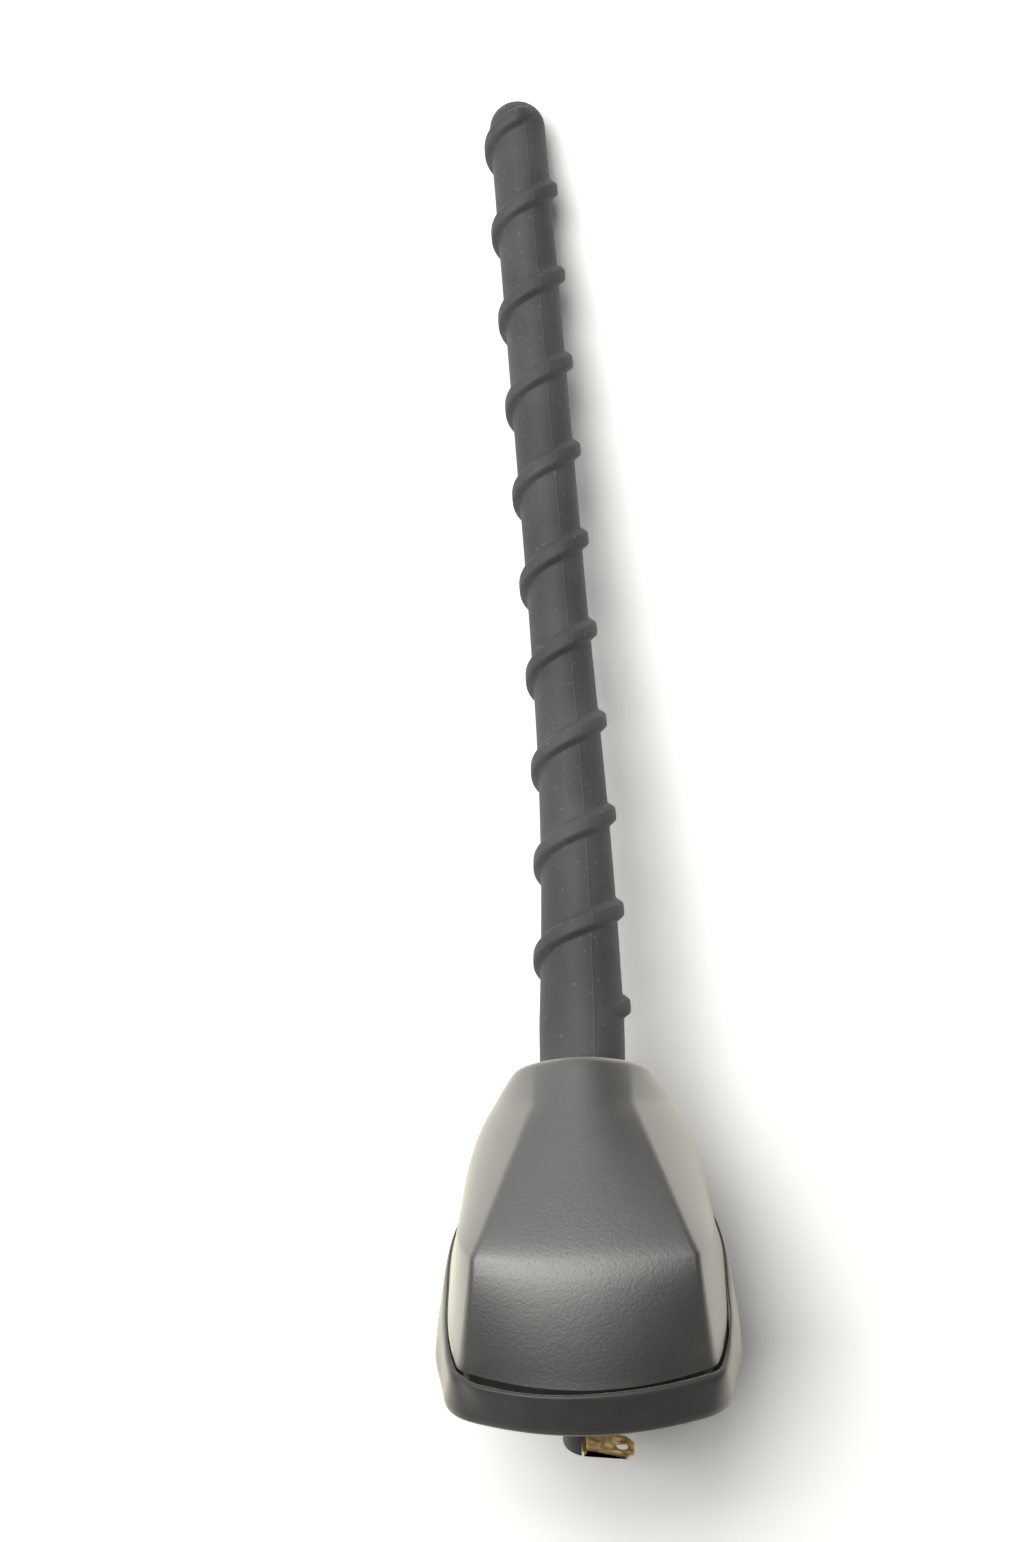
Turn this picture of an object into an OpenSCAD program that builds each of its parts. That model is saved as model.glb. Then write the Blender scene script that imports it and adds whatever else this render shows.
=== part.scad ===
// Roof antenna: moulded foot on a rubber tray, hollow fixing stud, and a ribbed rod mast.
// Units are millimetres. The roof plane is z = 0, the stud's axis is the Z axis,
// the blunt front of the foot looks towards -Y and the mast leans back towards +Y.

/* [Mast] */
// length of the mast, from the neck's face to the tip
mast_len = 198; // [180:1:215]
// elevation of the mast's foot above the roof
mast_elev = 45; // [44:0.5:46]
// radius of the rubber at the mast's foot
foot_r = 7.9; // [7.8:0.05:8.3]
// radius of the rubber at the thin part of the rod
rod_r = 5.7; // [5.4:0.05:6]
// distance from the foot at which the flare has died out
flare_end = 100; // [80:1:120]
// angle by which the mast is bent to the left, in degrees
mast_bend = 3.6; // [0:0.1:6]

/* [Rib] */
// advance of the rib in one turn
rib_pitch = 18.5; // [18.3:0.05:18.6]
// how far the rib stands out of the rubber
rib_height = 1.43; // [0.6:0.05:1.8]
// width of the rib at its base, along the mast
rib_base = 4.4; // [3.6:0.1:5]
// width of the rib's flat top, along the mast
rib_top = 1.8; // [1.2:0.1:2.4]
// distance from the neck's face to the rib's lower end
rib_start = 9.8; // [9:0.1:10.2]
// direction of the rib's lower end around the mast
rib_angle = -46.7; // [-90:1:90]

/* [Cover] */
// half the width of the cover at its widest
cover_half_w = 25.4; // [25:0.1:25.6]
// half the width of the cover's front edge
cover_front_w = 23.1; // [22.6:0.1:23.6]
// lean of the blunt front face, from the roof
front_lean = 67; // [64:1:70]
// slope of the long upper face, from the roof
face_slope = 30; // [28:0.5:32]
// how far the front edge bows forward in the middle
front_bow = 6.6; // [5.6:0.1:7.4]
// rounding of the fold between front and upper face
fold_round = 2.8; // [1.5:0.1:4]
// thickness of the cover's wall
wall = 2.2; // [1.8:0.1:2.4]
// radius of the round neck
neck_r = 12.4; // [12:0.1:12.8]

/* [Gasket] */
// thickness of the gasket under the casting
floor_t = 3; // [2.6:0.1:3.4]
// height of the gasket's lip above the roof
lip_z = 8.5; // [8:0.1:9]
// gap between the cover and the gasket's lip
lip_gap = 0.35; // [0.2:0.05:0.5]

/* [Stud] */
// diameter of the fixing stud
stud_d = 16; // [15.6:0.1:16.4]
// length of the stud below the roof plane
stud_len = 16; // [14:0.5:17]
// diameter of the plastic core, whose nose stands out below the stud
nose_d = 10.6; // [10:0.1:11]
// level of the nose's end, below the roof plane
nose_len = 23.7; // [22.5:0.1:25]

/* [Terminal blade] */
// width of the blade
blade_w = 6.3; // [5.8:0.1:6.4]
// thickness of the brass of the blade
blade_t = 0.8; // [0.7:0.05:0.9]
// reach of the blade from the stud's axis
blade_reach = 8.05; // [7.4:0.05:9]
// bevel at the corners of the blade's tip
blade_bevel = 1.6; // [1:0.1:2]
// diameter of the hole in the blade
blade_hole = 2.4; // [1.8:0.1:2.8]

/* [Socket] */
// diameter of the thread between mast and socket
thread_d = 6; // [5.6:0.1:6]
// diameter of the brass socket
socket_d = 10; // [9.6:0.1:10]
// outer diameter of the casting's arm
arm_d = 17; // [16.4:0.1:17.4]

/* [Fits] */
// radial clearance of round pieces that sit in each other
fit = 0.05; // [0.03:0.01:0.08]
// distance kept between the mast and what it turns on
run_gap = 0.3; // [0.2:0.05:0.4]

/* [Hidden] */
$fn = 48;
far = 60;
// neck, hinge line of the ring planes, and the fold of the cover
neck_y = 25.2;
neck_z = 41.5;
front_y = -28.5;
back_y = 46.3;
hinge_y = neck_y + neck_z - lip_z;
neck_run = (neck_z - lip_z) * sqrt(2);
brow_y = neck_y - neck_r * sin(45);
brow_z = neck_z + neck_r * sin(45);
fold_y = (brow_z - lip_z + tan(front_lean) * front_y - tan(face_slope) * brow_y)
       / (tan(front_lean) - tan(face_slope));
fold_z = lip_z + tan(front_lean) * (fold_y - front_y);
fold_a = atan2(fold_z - lip_z, hinge_y - fold_y);
fold_w = 19.8;
brow_w = 9;
brow_drop = 4.5;
// fractions at which the cover's rings lie, below and above the fold
low_steps = [0, 0.3, 0.56, 0.76, 0.88, 0.95];
high_steps = [0, 0.025, 0.07, 0.14, 0.25, 0.38, 0.51, 0.64, 0.76, 0.86, 0.94, 1];
low_few = [0, 0.45, 0.8, 0.94];
high_few = [0.02, 0.1, 0.25, 0.45, 0.65, 0.84, 1];
// the casting, the stud's flange and the screws
plate_t = 4;
plate_top = floor_t + plate_t;
skirt_gap = 0.3;
// how far the foot of the gasket stands out past the cover
tray_front = 2.1;
tray_back = 3.1;
tray_side = 2.7;
tray_corner = 2.6;
tray_len = back_y - front_y + tray_front + tray_back;
shank_d = stud_d + 1;
flange_af = 22;
flange_t = 3;
flange_z = plate_top + 0.5;
groove_z = -9;
groove_h = 1.6;
groove_r = nose_d / 2 - 0.9;
screw_at = [[cover_half_w - 9.9, -15], [cover_half_w - 9.4, 27]];
boss_top = 14;
screw_d = 3.5;
// distances along the mast's axis, from the neck's face
end_wall = 2.2;
arm_low = -22;
collar = 1.15;
shoulder = 1.95;
socket_low = arm_low - collar - shoulder - 2 * fit;
tab_t = 0.6;
tab_z = socket_low - fit - tab_t;
ferrule_len = 22;
ring_end = ferrule_len + 4;
screw_in = 8.2;
seal_ring_t = 1.2;
sleeve_end = 150;
core_end = mast_len - 8;
core_r = 2;
bend_a = 14;
bend_b = 70;
bend_steps = [bend_a, 22, 31, 41, 50, 60, bend_b];
free_steps = [31, 41, 50, 60, bend_b];
// columns of the mast's rubber and turns of its rib
cols = 24;
turns = 10;
dome_r = rod_r - 0.22;
dome_z = mast_len - dome_r;
tip_steps = [0.35, 0.6, 0.8, 0.93];
foot_steps = [0, 0.35, 0.7];

// small helpers
function clip(v, a, b) = min(max(v, a), b);
function flat(rings) = [for (r = rings) for (p = r) p];
function mix(a, b, t) = a + (b - a) * t;

// half outline of a section, from the middle of the front to the middle of the back
function bezier2(a, b, c, t) = (1 - t) * (1 - t) * a + 2 * t * (1 - t) * b + t * t * c;
function bezier3(a, b, c, d, t) = (1 - t) * (1 - t) * (1 - t) * a + 3 * (1 - t) * (1 - t) * t * b
                                + 3 * (1 - t) * t * t * c + t * t * t * d;
function half_outline(wf, bow, ws, us, rc, ze, nb, len) =
    let (
        xa = wf - 0.9 * rc,
        p0 = [xa, bow * (xa / wf) * (xa / wf)],
        p1 = [wf, bow],
        turn = [cos(ze), sin(ze)],
        p2 = p1 + rc * turn,
        p3 = [ws, us],
        arm = 0.35 * norm(p3 - p2)
    )
    concat(
        [for (k = [0:3]) [xa * k / 3, bow * (xa * k / 3 / wf) * (xa * k / 3 / wf)]],
        [for (k = [1:2]) bezier2(p0, p1, p2, k / 2)],
        [for (k = [1:4]) bezier3(p2, p2 + arm * turn, p3 - [0, arm], p3, k / 4)],
        [for (k = [1:7]) [ws * pow(cos(k * 90 / 7), 2 / nb),
                          us + (len - us) * pow(sin(k * 90 / 7), 2 / nb)]]
    );
function whole(half) = let (n = len(half)) concat(half, [for (k = [n - 2:-1:1]) [-half[k][0], half[k][1]]]);

// ring of the cover in a plane through the hinge line, inset by g, with its neck lowered by e
function hit(py, pz, lean, a, hy) = ((pz - lip_z) * cos(lean) - (py - hy) * sin(lean)) / sin(a + lean);
function front_run(a, g, e) =
    let (
        hy = hinge_y - e * sqrt(2),
        r1 = hit(front_y + g / sin(front_lean), lip_z, front_lean, a, hy),
        r2 = hit(brow_y + g * sin(face_slope), brow_z - g * cos(face_slope), face_slope, a, hy)
    )
    (r1 + r2 - sqrt((r1 - r2) * (r1 - r2) + fold_round * fold_round)) / 2;
function front_width(z) = lookup(z, [[lip_z, cover_front_w], [fold_z, fold_w],
                                     [brow_z - brow_drop, brow_w], [brow_z, 0.7071 * neck_r]]);
function cover_half(a, g = 0, e = 0) =
    let (
        t = a / 45,
        hy = hinge_y - e * sqrt(2),
        rf = front_run(a, g, e),
        back = hy - back_y + g,
        rb = back + (neck_run - e - neck_r + g - back) * pow(t, 0.8),
        z = lip_z + rf * sin(a),
        up = clip((z - fold_z) / (brow_z - fold_z), 0, 1),
        bow = front_bow + (0.2929 * neck_r - front_bow) * pow(up, 1.2),
        ws = neck_r + (cover_half_w - neck_r) * (1 - 0.54 * t - 0.46 * pow(t, 4.7)),
        us = lookup(a, [[0, 0.475], [16, 0.52], [38, 0.75], [45, 0.5]])
    )
    [rf, half_outline(front_width(z) - g, bow, ws - g, us * (rf - rb), 1.3 - 0.7 * t,
                      75 - 30 * pow(t, 1.28), 2.4 - 0.4 * t, rf - rb)];
function cover_ring(a, g = 0, e = 0) =
    let (h = cover_half(a, g, e), hy = hinge_y - e * sqrt(2))
    [for (p = whole(h[1])) [p[0], hy - (h[0] - p[1]) * cos(a), lip_z + (h[0] - p[1]) * sin(a)]];
function cover_outline(g) = [for (p = cover_ring(0, g)) [p[0], p[1]]];
function rings(low, high, g = 0, e = 0) =
    concat([[for (p = cover_ring(0, g, 0)) [p[0], p[1], floor_t]]],
           [for (k = low) cover_ring(k * fold_a, g, e * min(1, k * 4))],
           [for (k = high) cover_ring(mix(fold_a, 45, k), g, e)]);

// faces between stacked rings of n points, first ring at index base
function wrap_faces(base, count, n, inward = false) =
    [for (r = [0:count - 2]) for (k = [0:n - 1])
        let (a = base + r * n + k, b = base + r * n + (k + 1) % n)
        inward ? [a, b, b + n, a + n] : [a, a + n, b + n, b]];
function ring_faces(a, b, n) = [for (k = [0:n - 1]) [a + k, a + (k + 1) % n, b + (k + 1) % n, b + k]];

// places things on the mast's axis, with z = 0 at the neck's face
module on_mast() {
    translate([0, neck_y, neck_z]) rotate([mast_elev - 90, 0, 0]) children();
}

module tube(d, bore, z0, z1) {
    difference() {
        translate([0, 0, z0]) cylinder(d = d, h = z1 - z0);
        translate([0, 0, z0 - 1]) cylinder(d = bore, h = z1 - z0 + 2);
    }
}

module at_screws() {
    for (s = screw_at) for (m = [-1, 1]) translate([m * s[0], s[1], 0]) children();
}

// cover: a lofted shell with a flat front, a sloping face and a round neck
module cover_shell() {
    outer = rings(low_steps, high_steps);
    inner = rings(low_few, high_few, wall, end_wall);
    n = len(outer[0]);
    no = len(outer);
    ni = len(inner);
    polyhedron(
        points = concat(flat(outer), flat(inner)),
        faces = concat(
            wrap_faces(0, no, n),
            wrap_faces(no * n, ni, n, true),
            ring_faces(0, no * n, n),
            [[for (k = [n - 1:-1:0]) (no - 1) * n + k]],
            [[for (k = [0:n - 1]) (no + ni - 1) * n + k]]),
        convexity = 6);
}

module cover() {
    color([0.2, 0.2, 0.2])
    difference() {
        union() {
            cover_shell();
            at_screws() translate([0, 0, plate_top + fit]) cylinder(d = 7, h = boss_top - plate_top);
            for (m = [-1, 1]) {
                translate([m * (cover_half_w - 5.4) - 3, screw_at[0][1] - 1, plate_top + fit]) cube([6 - 0.4, 2, 6]);
                translate([m * (cover_half_w - 5.9) - 2.5, screw_at[1][1] - 1, plate_top + fit]) cube([5, 2, 5]);
            }
        }
        at_screws() translate([0, 0, plate_top - 1]) cylinder(d = screw_d + 2 * fit, h = boss_top - plate_top);
        on_mast() translate([0, 0, -8]) cylinder(d = socket_d + 0.4, h = 20);
    }
}

// gasket: a soft tray with a thin lip around the cover, and sealing grooves underneath
function pad_ring(z, inset = 0) =
    let (t = z / lip_z,
         h = half_outline(cover_front_w + tray_corner - 0.8 * t - inset, front_bow + 0.2,
                          cover_half_w + tray_side - 0.6 * t - inset, 26 - 0.8 * t,
                          4.8, 84, 2.43, tray_len - 1.5 * t - 2 * inset))
    [for (p = whole(h)) [p[0], front_y - tray_front + 0.85 * t + inset + p[1], z]];

module gasket() {
    layers = [pad_ring(0, 0.5), pad_ring(0.6), pad_ring(lip_z - 0.5), pad_ring(lip_z, 0.3)];
    n = len(layers[0]);
    color([0.13, 0.13, 0.13])
    difference() {
        polyhedron(
            points = flat(layers),
            faces = concat(
                wrap_faces(0, 4, n),
                [[for (k = [0:n - 1]) k]],
                [[for (k = [n - 1:-1:0]) 3 * n + k]]),
            convexity = 4);
        translate([0, 0, floor_t]) linear_extrude(20) polygon(cover_outline(-lip_gap));
        translate([0, 0, -1]) cylinder(d = shank_d + 0.9, h = 10);
        for (d = [shank_d + 6, shank_d + 12]) tube(d, d - 2.4, -1, 0.8);
        translate([0, 0, -1]) linear_extrude(1.8) difference() {
            polygon([for (p = pad_ring(0, 3.6)) [p[0], p[1]]]);
            polygon([for (p = pad_ring(0, 5.2)) [p[0], p[1]]]);
        }
    }
}

// base casting: plate, arm for the socket and gussets under the arm
module gusset_side() {
    polygon([[11, plate_top - 1], [35.5, plate_top - 1], [23.5, 35], [14.5, 30.5]]);
}

module base_casting() {
    boss = flange_z + flange_t + 0.5;
    color([0.62, 0.62, 0.63])
    difference() {
        union() {
            translate([0, 0, floor_t]) linear_extrude(plate_t) polygon(cover_outline(wall + skirt_gap));
            translate([0, 0, floor_t]) cylinder(d = shank_d + 13, h = boss - floor_t);
            intersection() {
                union() {
                    on_mast() translate([0, 0, arm_low]) cylinder(d = arm_d, h = -arm_low - end_wall - 0.3);
                    for (m = [-1, 1]) translate([m * 6 + 1.5, 0, 0]) rotate([90, 0, -90])
                        mirror([1, 0, 0]) linear_extrude(3) gusset_side();
                }
                translate([-far, -far, floor_t]) cube(2 * far);
            }
        }
        on_mast() {
            translate([0, 0, -far]) cylinder(d = 13, h = 2 * far - 20);
            translate([0, 0, arm_low - 8]) cylinder(d = 17, h = 8);
        }
        translate([0, 0, -1]) cylinder(d = shank_d + 2 * fit, h = 12);
        translate([0, 0, flange_z - fit]) cylinder(r = (flange_af / 2 + 0.1) / cos(30), h = 8, $fn = 6);
        at_screws() {
            translate([0, 0, floor_t - 1]) cylinder(d = 4, h = 20);
            translate([0, 0, floor_t - 1]) cylinder(d = 7.6, h = 3.3);
        }
    }
}

// cover screws: pan heads in the casting's underside, shanks in the cover's bosses
module cover_screws() {
    color([0.72, 0.72, 0.74])
    at_screws() difference() {
        union() {
            translate([0, 0, floor_t + 0.15]) cylinder(d = 7, h = 2.1);
            translate([0, 0, floor_t + 2]) cylinder(d = screw_d, h = 7.6);
        }
        for (a = [0, 90]) rotate([0, 0, a]) translate([-2, -0.45, floor_t - 1]) cube([4, 0.9, 2.3]);
    }
}

// fixing stud: hollow, with a hexagonal flange that the casting keeps from turning
module fixing_stud() {
    color([0.7, 0.7, 0.72])
    difference() {
        union() {
            rotate_extrude() polygon([
                [0, -stud_len], [stud_d / 2 - 0.8, -stud_len], [stud_d / 2, 0.8 - stud_len],
                [stud_d / 2, 0.5], [shank_d / 2, 0.5], [shank_d / 2, flange_z + 1], [0, flange_z + 1]]);
            translate([0, 0, flange_z]) cylinder(r = flange_af / 2 / cos(30), h = flange_t, $fn = 6);
        }
        translate([0, 0, -far]) cylinder(d = nose_d + 2 * fit, h = 2 * far);
    }
}

// stud insulator: the plastic core of the stud, with a seal's groove and a nose that is cut away
// beside the blade
module stud_insulator() {
    stem_x = -1.72;
    color([0.16, 0.16, 0.17])
    difference() {
        union() {
            translate([0, 0, -nose_len]) cylinder(d = nose_d, h = groove_z + nose_len);
            translate([0, 0, -nose_len]) cylinder(r = groove_r, h = nose_len);
            translate([0, 0, groove_z + groove_h]) cylinder(d = nose_d, h = flange_z + flange_t - groove_z - groove_h);
        }
        translate([stem_x - fit, -blade_w / 2 - fit, -far]) cube([blade_t + 2 * fit, blade_w + 2 * fit, 2 * far]);
        translate([stem_x - fit, -far / 2, -nose_len - 1]) cube([far, far, nose_len - stud_len - 1]);
    }
}

// insulator seal: a ring in the core's groove, which keeps water out of the hollow stud
module insulator_seal() {
    color([0.1, 0.1, 0.1]) tube(nose_d, 2 * groove_r + 2 * fit, groove_z + fit, groove_z + groove_h - fit);
}

// terminal blade: a stem in the insulator, and a folded tab that points to the side
module terminal_blade() {
    stem_x = -1.72;
    top = flange_z + flange_t + 4.8;
    root = -nose_len;
    color([0.6, 0.47, 0.28])
    difference() {
        intersection() {
            rotate([90, 0, 0]) translate([0, 0, -blade_w / 2]) linear_extrude(blade_w) polygon([
                [stem_x, top], [stem_x, root - 0.55], [5.2, root - 2.02], [-1.4, root - 1.05],
                [-1.4, root - 1.6], [blade_reach, root - 2.6], [blade_reach, root - 2.05],
                [stem_x + blade_t + 0.3, root - 0.23], [stem_x + blade_t, root], [stem_x + blade_t, top]]);
            translate([0, 0, -far]) linear_extrude(2 * far) polygon([
                [-far, -far], [blade_reach - blade_bevel, -blade_w / 2], [blade_reach, blade_bevel - blade_w / 2],
                [blade_reach, blade_w / 2 - blade_bevel], [blade_reach - blade_bevel, blade_w / 2], [-far, far]]);
        }
        translate([5.7, 0, -far]) cylinder(d = blade_hole, h = far);
        translate([0, 0, 13]) rotate([0, 90, 0]) cylinder(d = 2 + 2 * fit, h = 10, center = true);
    }
}

// contact strip: from the socket's lower end down to the blade's stem
module contact_strip() {
    left = -1.72 + blade_t + fit;
    foot = flange_z + flange_t + 0.4;
    side = 3;
    jog = foot + 4.7;
    color([0.66, 0.52, 0.3])
    difference() {
        union() {
            on_mast() translate([-side - tab_t, -3, tab_z]) cube([2 * side + 2 * tab_t, 6, tab_t]);
            translate([side + tab_t, 0, 0]) rotate([90, 0, -90]) mirror([1, 0, 0]) linear_extrude(tab_t)
                polygon([[5.3, 25.7], [9.5, 21.5], [3, jog + 3.2], [-3, jog + 3.2]]);
            rotate([90, 0, 0]) translate([0, 0, -3]) linear_extrude(6) polygon([
                [left, foot], [left + tab_t, foot], [left + tab_t, jog - 0.2], [side + tab_t, jog + 3.5],
                [side + tab_t, jog + 4], [side, jog + 4], [side, jog + 3.8], [left, jog]]);
        }
        on_mast() translate([0, 0, -far]) cylinder(d = 3.2, h = far);
        translate([0, 0, 13]) rotate([0, 90, 0]) cylinder(d = 2 + 2 * fit, h = 4, center = true);
    }
}

module strip_rivet() {
    a = -1.72 - fit;
    b = -1.72 + blade_t + tab_t + 2 * fit;
    color([0.75, 0.6, 0.36])
    translate([0, 0, 13]) rotate([0, 90, 0]) {
        translate([0, 0, a - 0.7]) cylinder(d = 3.6, h = 0.7);
        translate([0, 0, a - 0.35]) cylinder(d = 2, h = b - a + 0.7);
        translate([0, 0, b]) cylinder(d = 3.6, h = 0.7);
    }
}

module strip_screw() {
    color([0.72, 0.72, 0.74])
    on_mast() difference() {
        union() {
            translate([0, 0, tab_z - fit - 1.7]) cylinder(d = 5.4, h = 1.7);
            translate([0, 0, tab_z - fit - 0.5]) cylinder(d = 3, h = 6.2);
        }
        translate([-2, -0.4, tab_z - fit - 2.7]) cube([4, 0.8, 1.9]);
    }
}

// socket sleeve: insulates the mast's socket from the casting
module socket_sleeve() {
    color([0.85, 0.83, 0.78])
    on_mast() {
        difference() {
            union() {
                translate([0, 0, arm_low - fit]) cylinder(d = 13 - 2 * fit, h = -arm_low - end_wall - 0.4);
                translate([0, 0, arm_low - fit - collar]) cylinder(d = 16.4, h = collar);
            }
            translate([0, 0, -far]) cylinder(d = socket_d + 2 * fit, h = 2 * far);
        }
    }
}

// mast socket: threaded brass bush with a shoulder under the sleeve
module mast_socket() {
    color([0.7, 0.56, 0.32])
    on_mast() difference() {
        union() {
            translate([0, 0, socket_low]) cylinder(d = socket_d, h = -socket_low);
            translate([0, 0, socket_low]) cylinder(d = 14, h = shoulder);
        }
        translate([0, 0, -14]) cylinder(d = thread_d + 2 * fit, h = 20);
        translate([0, 0, socket_low - 1]) cylinder(d = 3 + 2 * fit, h = 7);
    }
}

// mast seal: a flat ring between the neck's face and the mast's rubber
module mast_seal() {
    color([0.08, 0.08, 0.08]) on_mast() tube(2 * (foot_r - 0.9), socket_d + 1, 0, seal_ring_t);
}

module mast_ferrule() {
    color([0.7, 0.7, 0.71])
    on_mast() rotate_extrude() polygon([
        [thread_d / 2 + fit, 0], [5, 0], [5, 8], [4.5, 8.6], [4.5, ferrule_len], [core_r + 0.15, ferrule_len],
        [core_r + 0.15, screw_in + 0.6], [0, screw_in + 0.6], [0, screw_in], [thread_d / 2 + fit, screw_in]]);
}

module mast_screw() {
    color([0.74, 0.74, 0.75])
    on_mast() rotate_extrude() polygon([
        [0, -9], [thread_d / 2 - 0.8, -9], [thread_d / 2, -8.2], [thread_d / 2, screw_in - 0.1], [0, screw_in - 0.1]]);
}

// the mast's centre line: straight, then a gentle bend, then straight again
bend_k = mast_bend / (bend_b - bend_a);
function lean(s) = bend_k * clip(s - bend_a, 0, bend_b - bend_a);
function side_run(s) = mast_bend < 0.05 ? 0 : (1 - cos(lean(s))) * 180 / PI / bend_k
                     + max(s - bend_b, 0) * sin(mast_bend);
function axis_run(s) = mast_bend < 0.05 ? s : min(s, bend_a) + sin(lean(s)) * 180 / PI / bend_k
                     + max(s - bend_b, 0) * cos(mast_bend);
function on_axis(s, r, a) = [r * cos(a) * cos(lean(s)) - side_run(s), r * sin(a),
                             axis_run(s) + r * cos(a) * sin(lean(s))];
function ring_at(s, r, n) = [for (k = [0:n - 1]) on_axis(s, r, k * 360 / n)];

// a rod or a tube that follows the centre line; profile points are [distance, radius]
module bent_rod(profile, n) {
    polyhedron(
        points = flat([for (p = profile) ring_at(p[0], p[1], n)]),
        faces = concat(
            wrap_faces(0, len(profile), n),
            [[for (k = [0:n - 1]) k]],
            [[for (k = [n - 1:-1:0]) (len(profile) - 1) * n + k]]));
}

module bent_tube(steps, r0, r1, n) {
    m = len(steps);
    polyhedron(
        points = concat(flat([for (s = steps) ring_at(s, r1, n)]), flat([for (s = steps) ring_at(s, r0, n)])),
        faces = concat(
            wrap_faces(0, m, n),
            wrap_faces(m * n, m, n, true),
            ring_faces(0, m * n, n),
            [for (k = [0:n - 1]) [(m - 1) * n + k, (2 * m - 1) * n + k, (2 * m - 1) * n + (k + 1) % n, (m - 1) * n + (k + 1) % n]]),
        convexity = 4);
}

module mast_core() {
    color([0.78, 0.74, 0.6])
    on_mast() bent_rod(concat([[screw_in + 0.8, core_r]], [for (s = bend_steps) [s, core_r]], [[core_end, core_r]]), 16);
}

module winding_ring() {
    color([0.75, 0.6, 0.36])
    on_mast() bent_tube([ferrule_len + 0.1, ring_end], core_r + 0.1, 3.2, 24);
}

module winding_sleeve() {
    color([0.12, 0.12, 0.12])
    on_mast() bent_tube(concat([ring_end + 0.3], free_steps, [sleeve_end]), 3, 3.3, 24);
}

// mast winding: the copper helix that radiates
module mast_winding() {
    pitch = 4;
    per = 8;
    last = 30 * per;
    wire = 0.3;
    centre = core_r + 0.6;
    color([0.8, 0.45, 0.25])
    on_mast() polyhedron(
        points = [for (i = [0:last]) for (k = [0:4])
            on_axis(ring_end + 0.5 + pitch * i / per + wire * sin(72 * k), centre + wire * cos(72 * k), i * 360 / per)],
        faces = concat(
            [for (i = [0:last - 1]) for (k = [0:4]) let (a = i * 5 + k, b = i * 5 + (k + 1) % 5) each [[a, b, b + 5], [a, b + 5, a + 5]]],
            [[4, 3, 2, 1, 0]],
            [[for (k = [0:4]) last * 5 + k]]),
        convexity = 10);
}

// mast rubber: flared foot, domed tip, and a rib that climbs round it like a screw thread;
// each column of points runs from foot to tip, and meets the rib once in every turn
function rubber_r(s) = s > dome_z ? sqrt(max(dome_r * dome_r - (s - dome_z) * (s - dome_z), 0))
    : rod_r - 0.22 * pow(s / mast_len, 2)
      + (foot_r - rod_r) * pow(clip(1 - (s - 9) / (flare_end - 9), 0, 1), 1.7);
rib_rows = [[-rib_base / 2, 0], [-rib_top / 2 - 0.45, 0.82], [-rib_top * 0.39, 1],
            [rib_top * 0.39, 1], [rib_top / 2 + 0.45, 0.82], [rib_base / 2, 0]];
function fade(t) = clip(min(t, turns - t) / 0.12, 0, 1);
function crossing(t) = [for (row = rib_rows)
    let (s = rib_start + rib_pitch * t + row[0] * (0.35 + 0.65 * fade(t)))
    [s, rubber_r(s) + rib_height * row[1] * fade(t)]];
function column(j) =
    let (
        mid = [for (m = [0:turns - (j == 0 ? 0 : 1)]) each crossing(m + j / cols)],
        a = mid[0][0],
        b = mid[len(mid) - 1][0]
    )
    concat([for (f = foot_steps) let (s = mix(run_gap, a, f)) [s, rubber_r(s)]],
           mid,
           [for (f = tip_steps) let (s = mix(b, mast_len, f)) [s, rubber_r(s)]]);
function stitch(a, b, i = 0, j = 0) =
    i == len(a) - 1 && j == len(b) - 1 ? [] :
    j == len(b) - 1 || (i < len(a) - 1 && a[i + 1][1] <= b[j + 1][1])
    ? concat([[a[i][0], a[i + 1][0], b[j][0]]], stitch(a, b, i + 1, j))
    : concat([[a[i][0], b[j + 1][0], b[j][0]]], stitch(a, b, i, j + 1));

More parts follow.
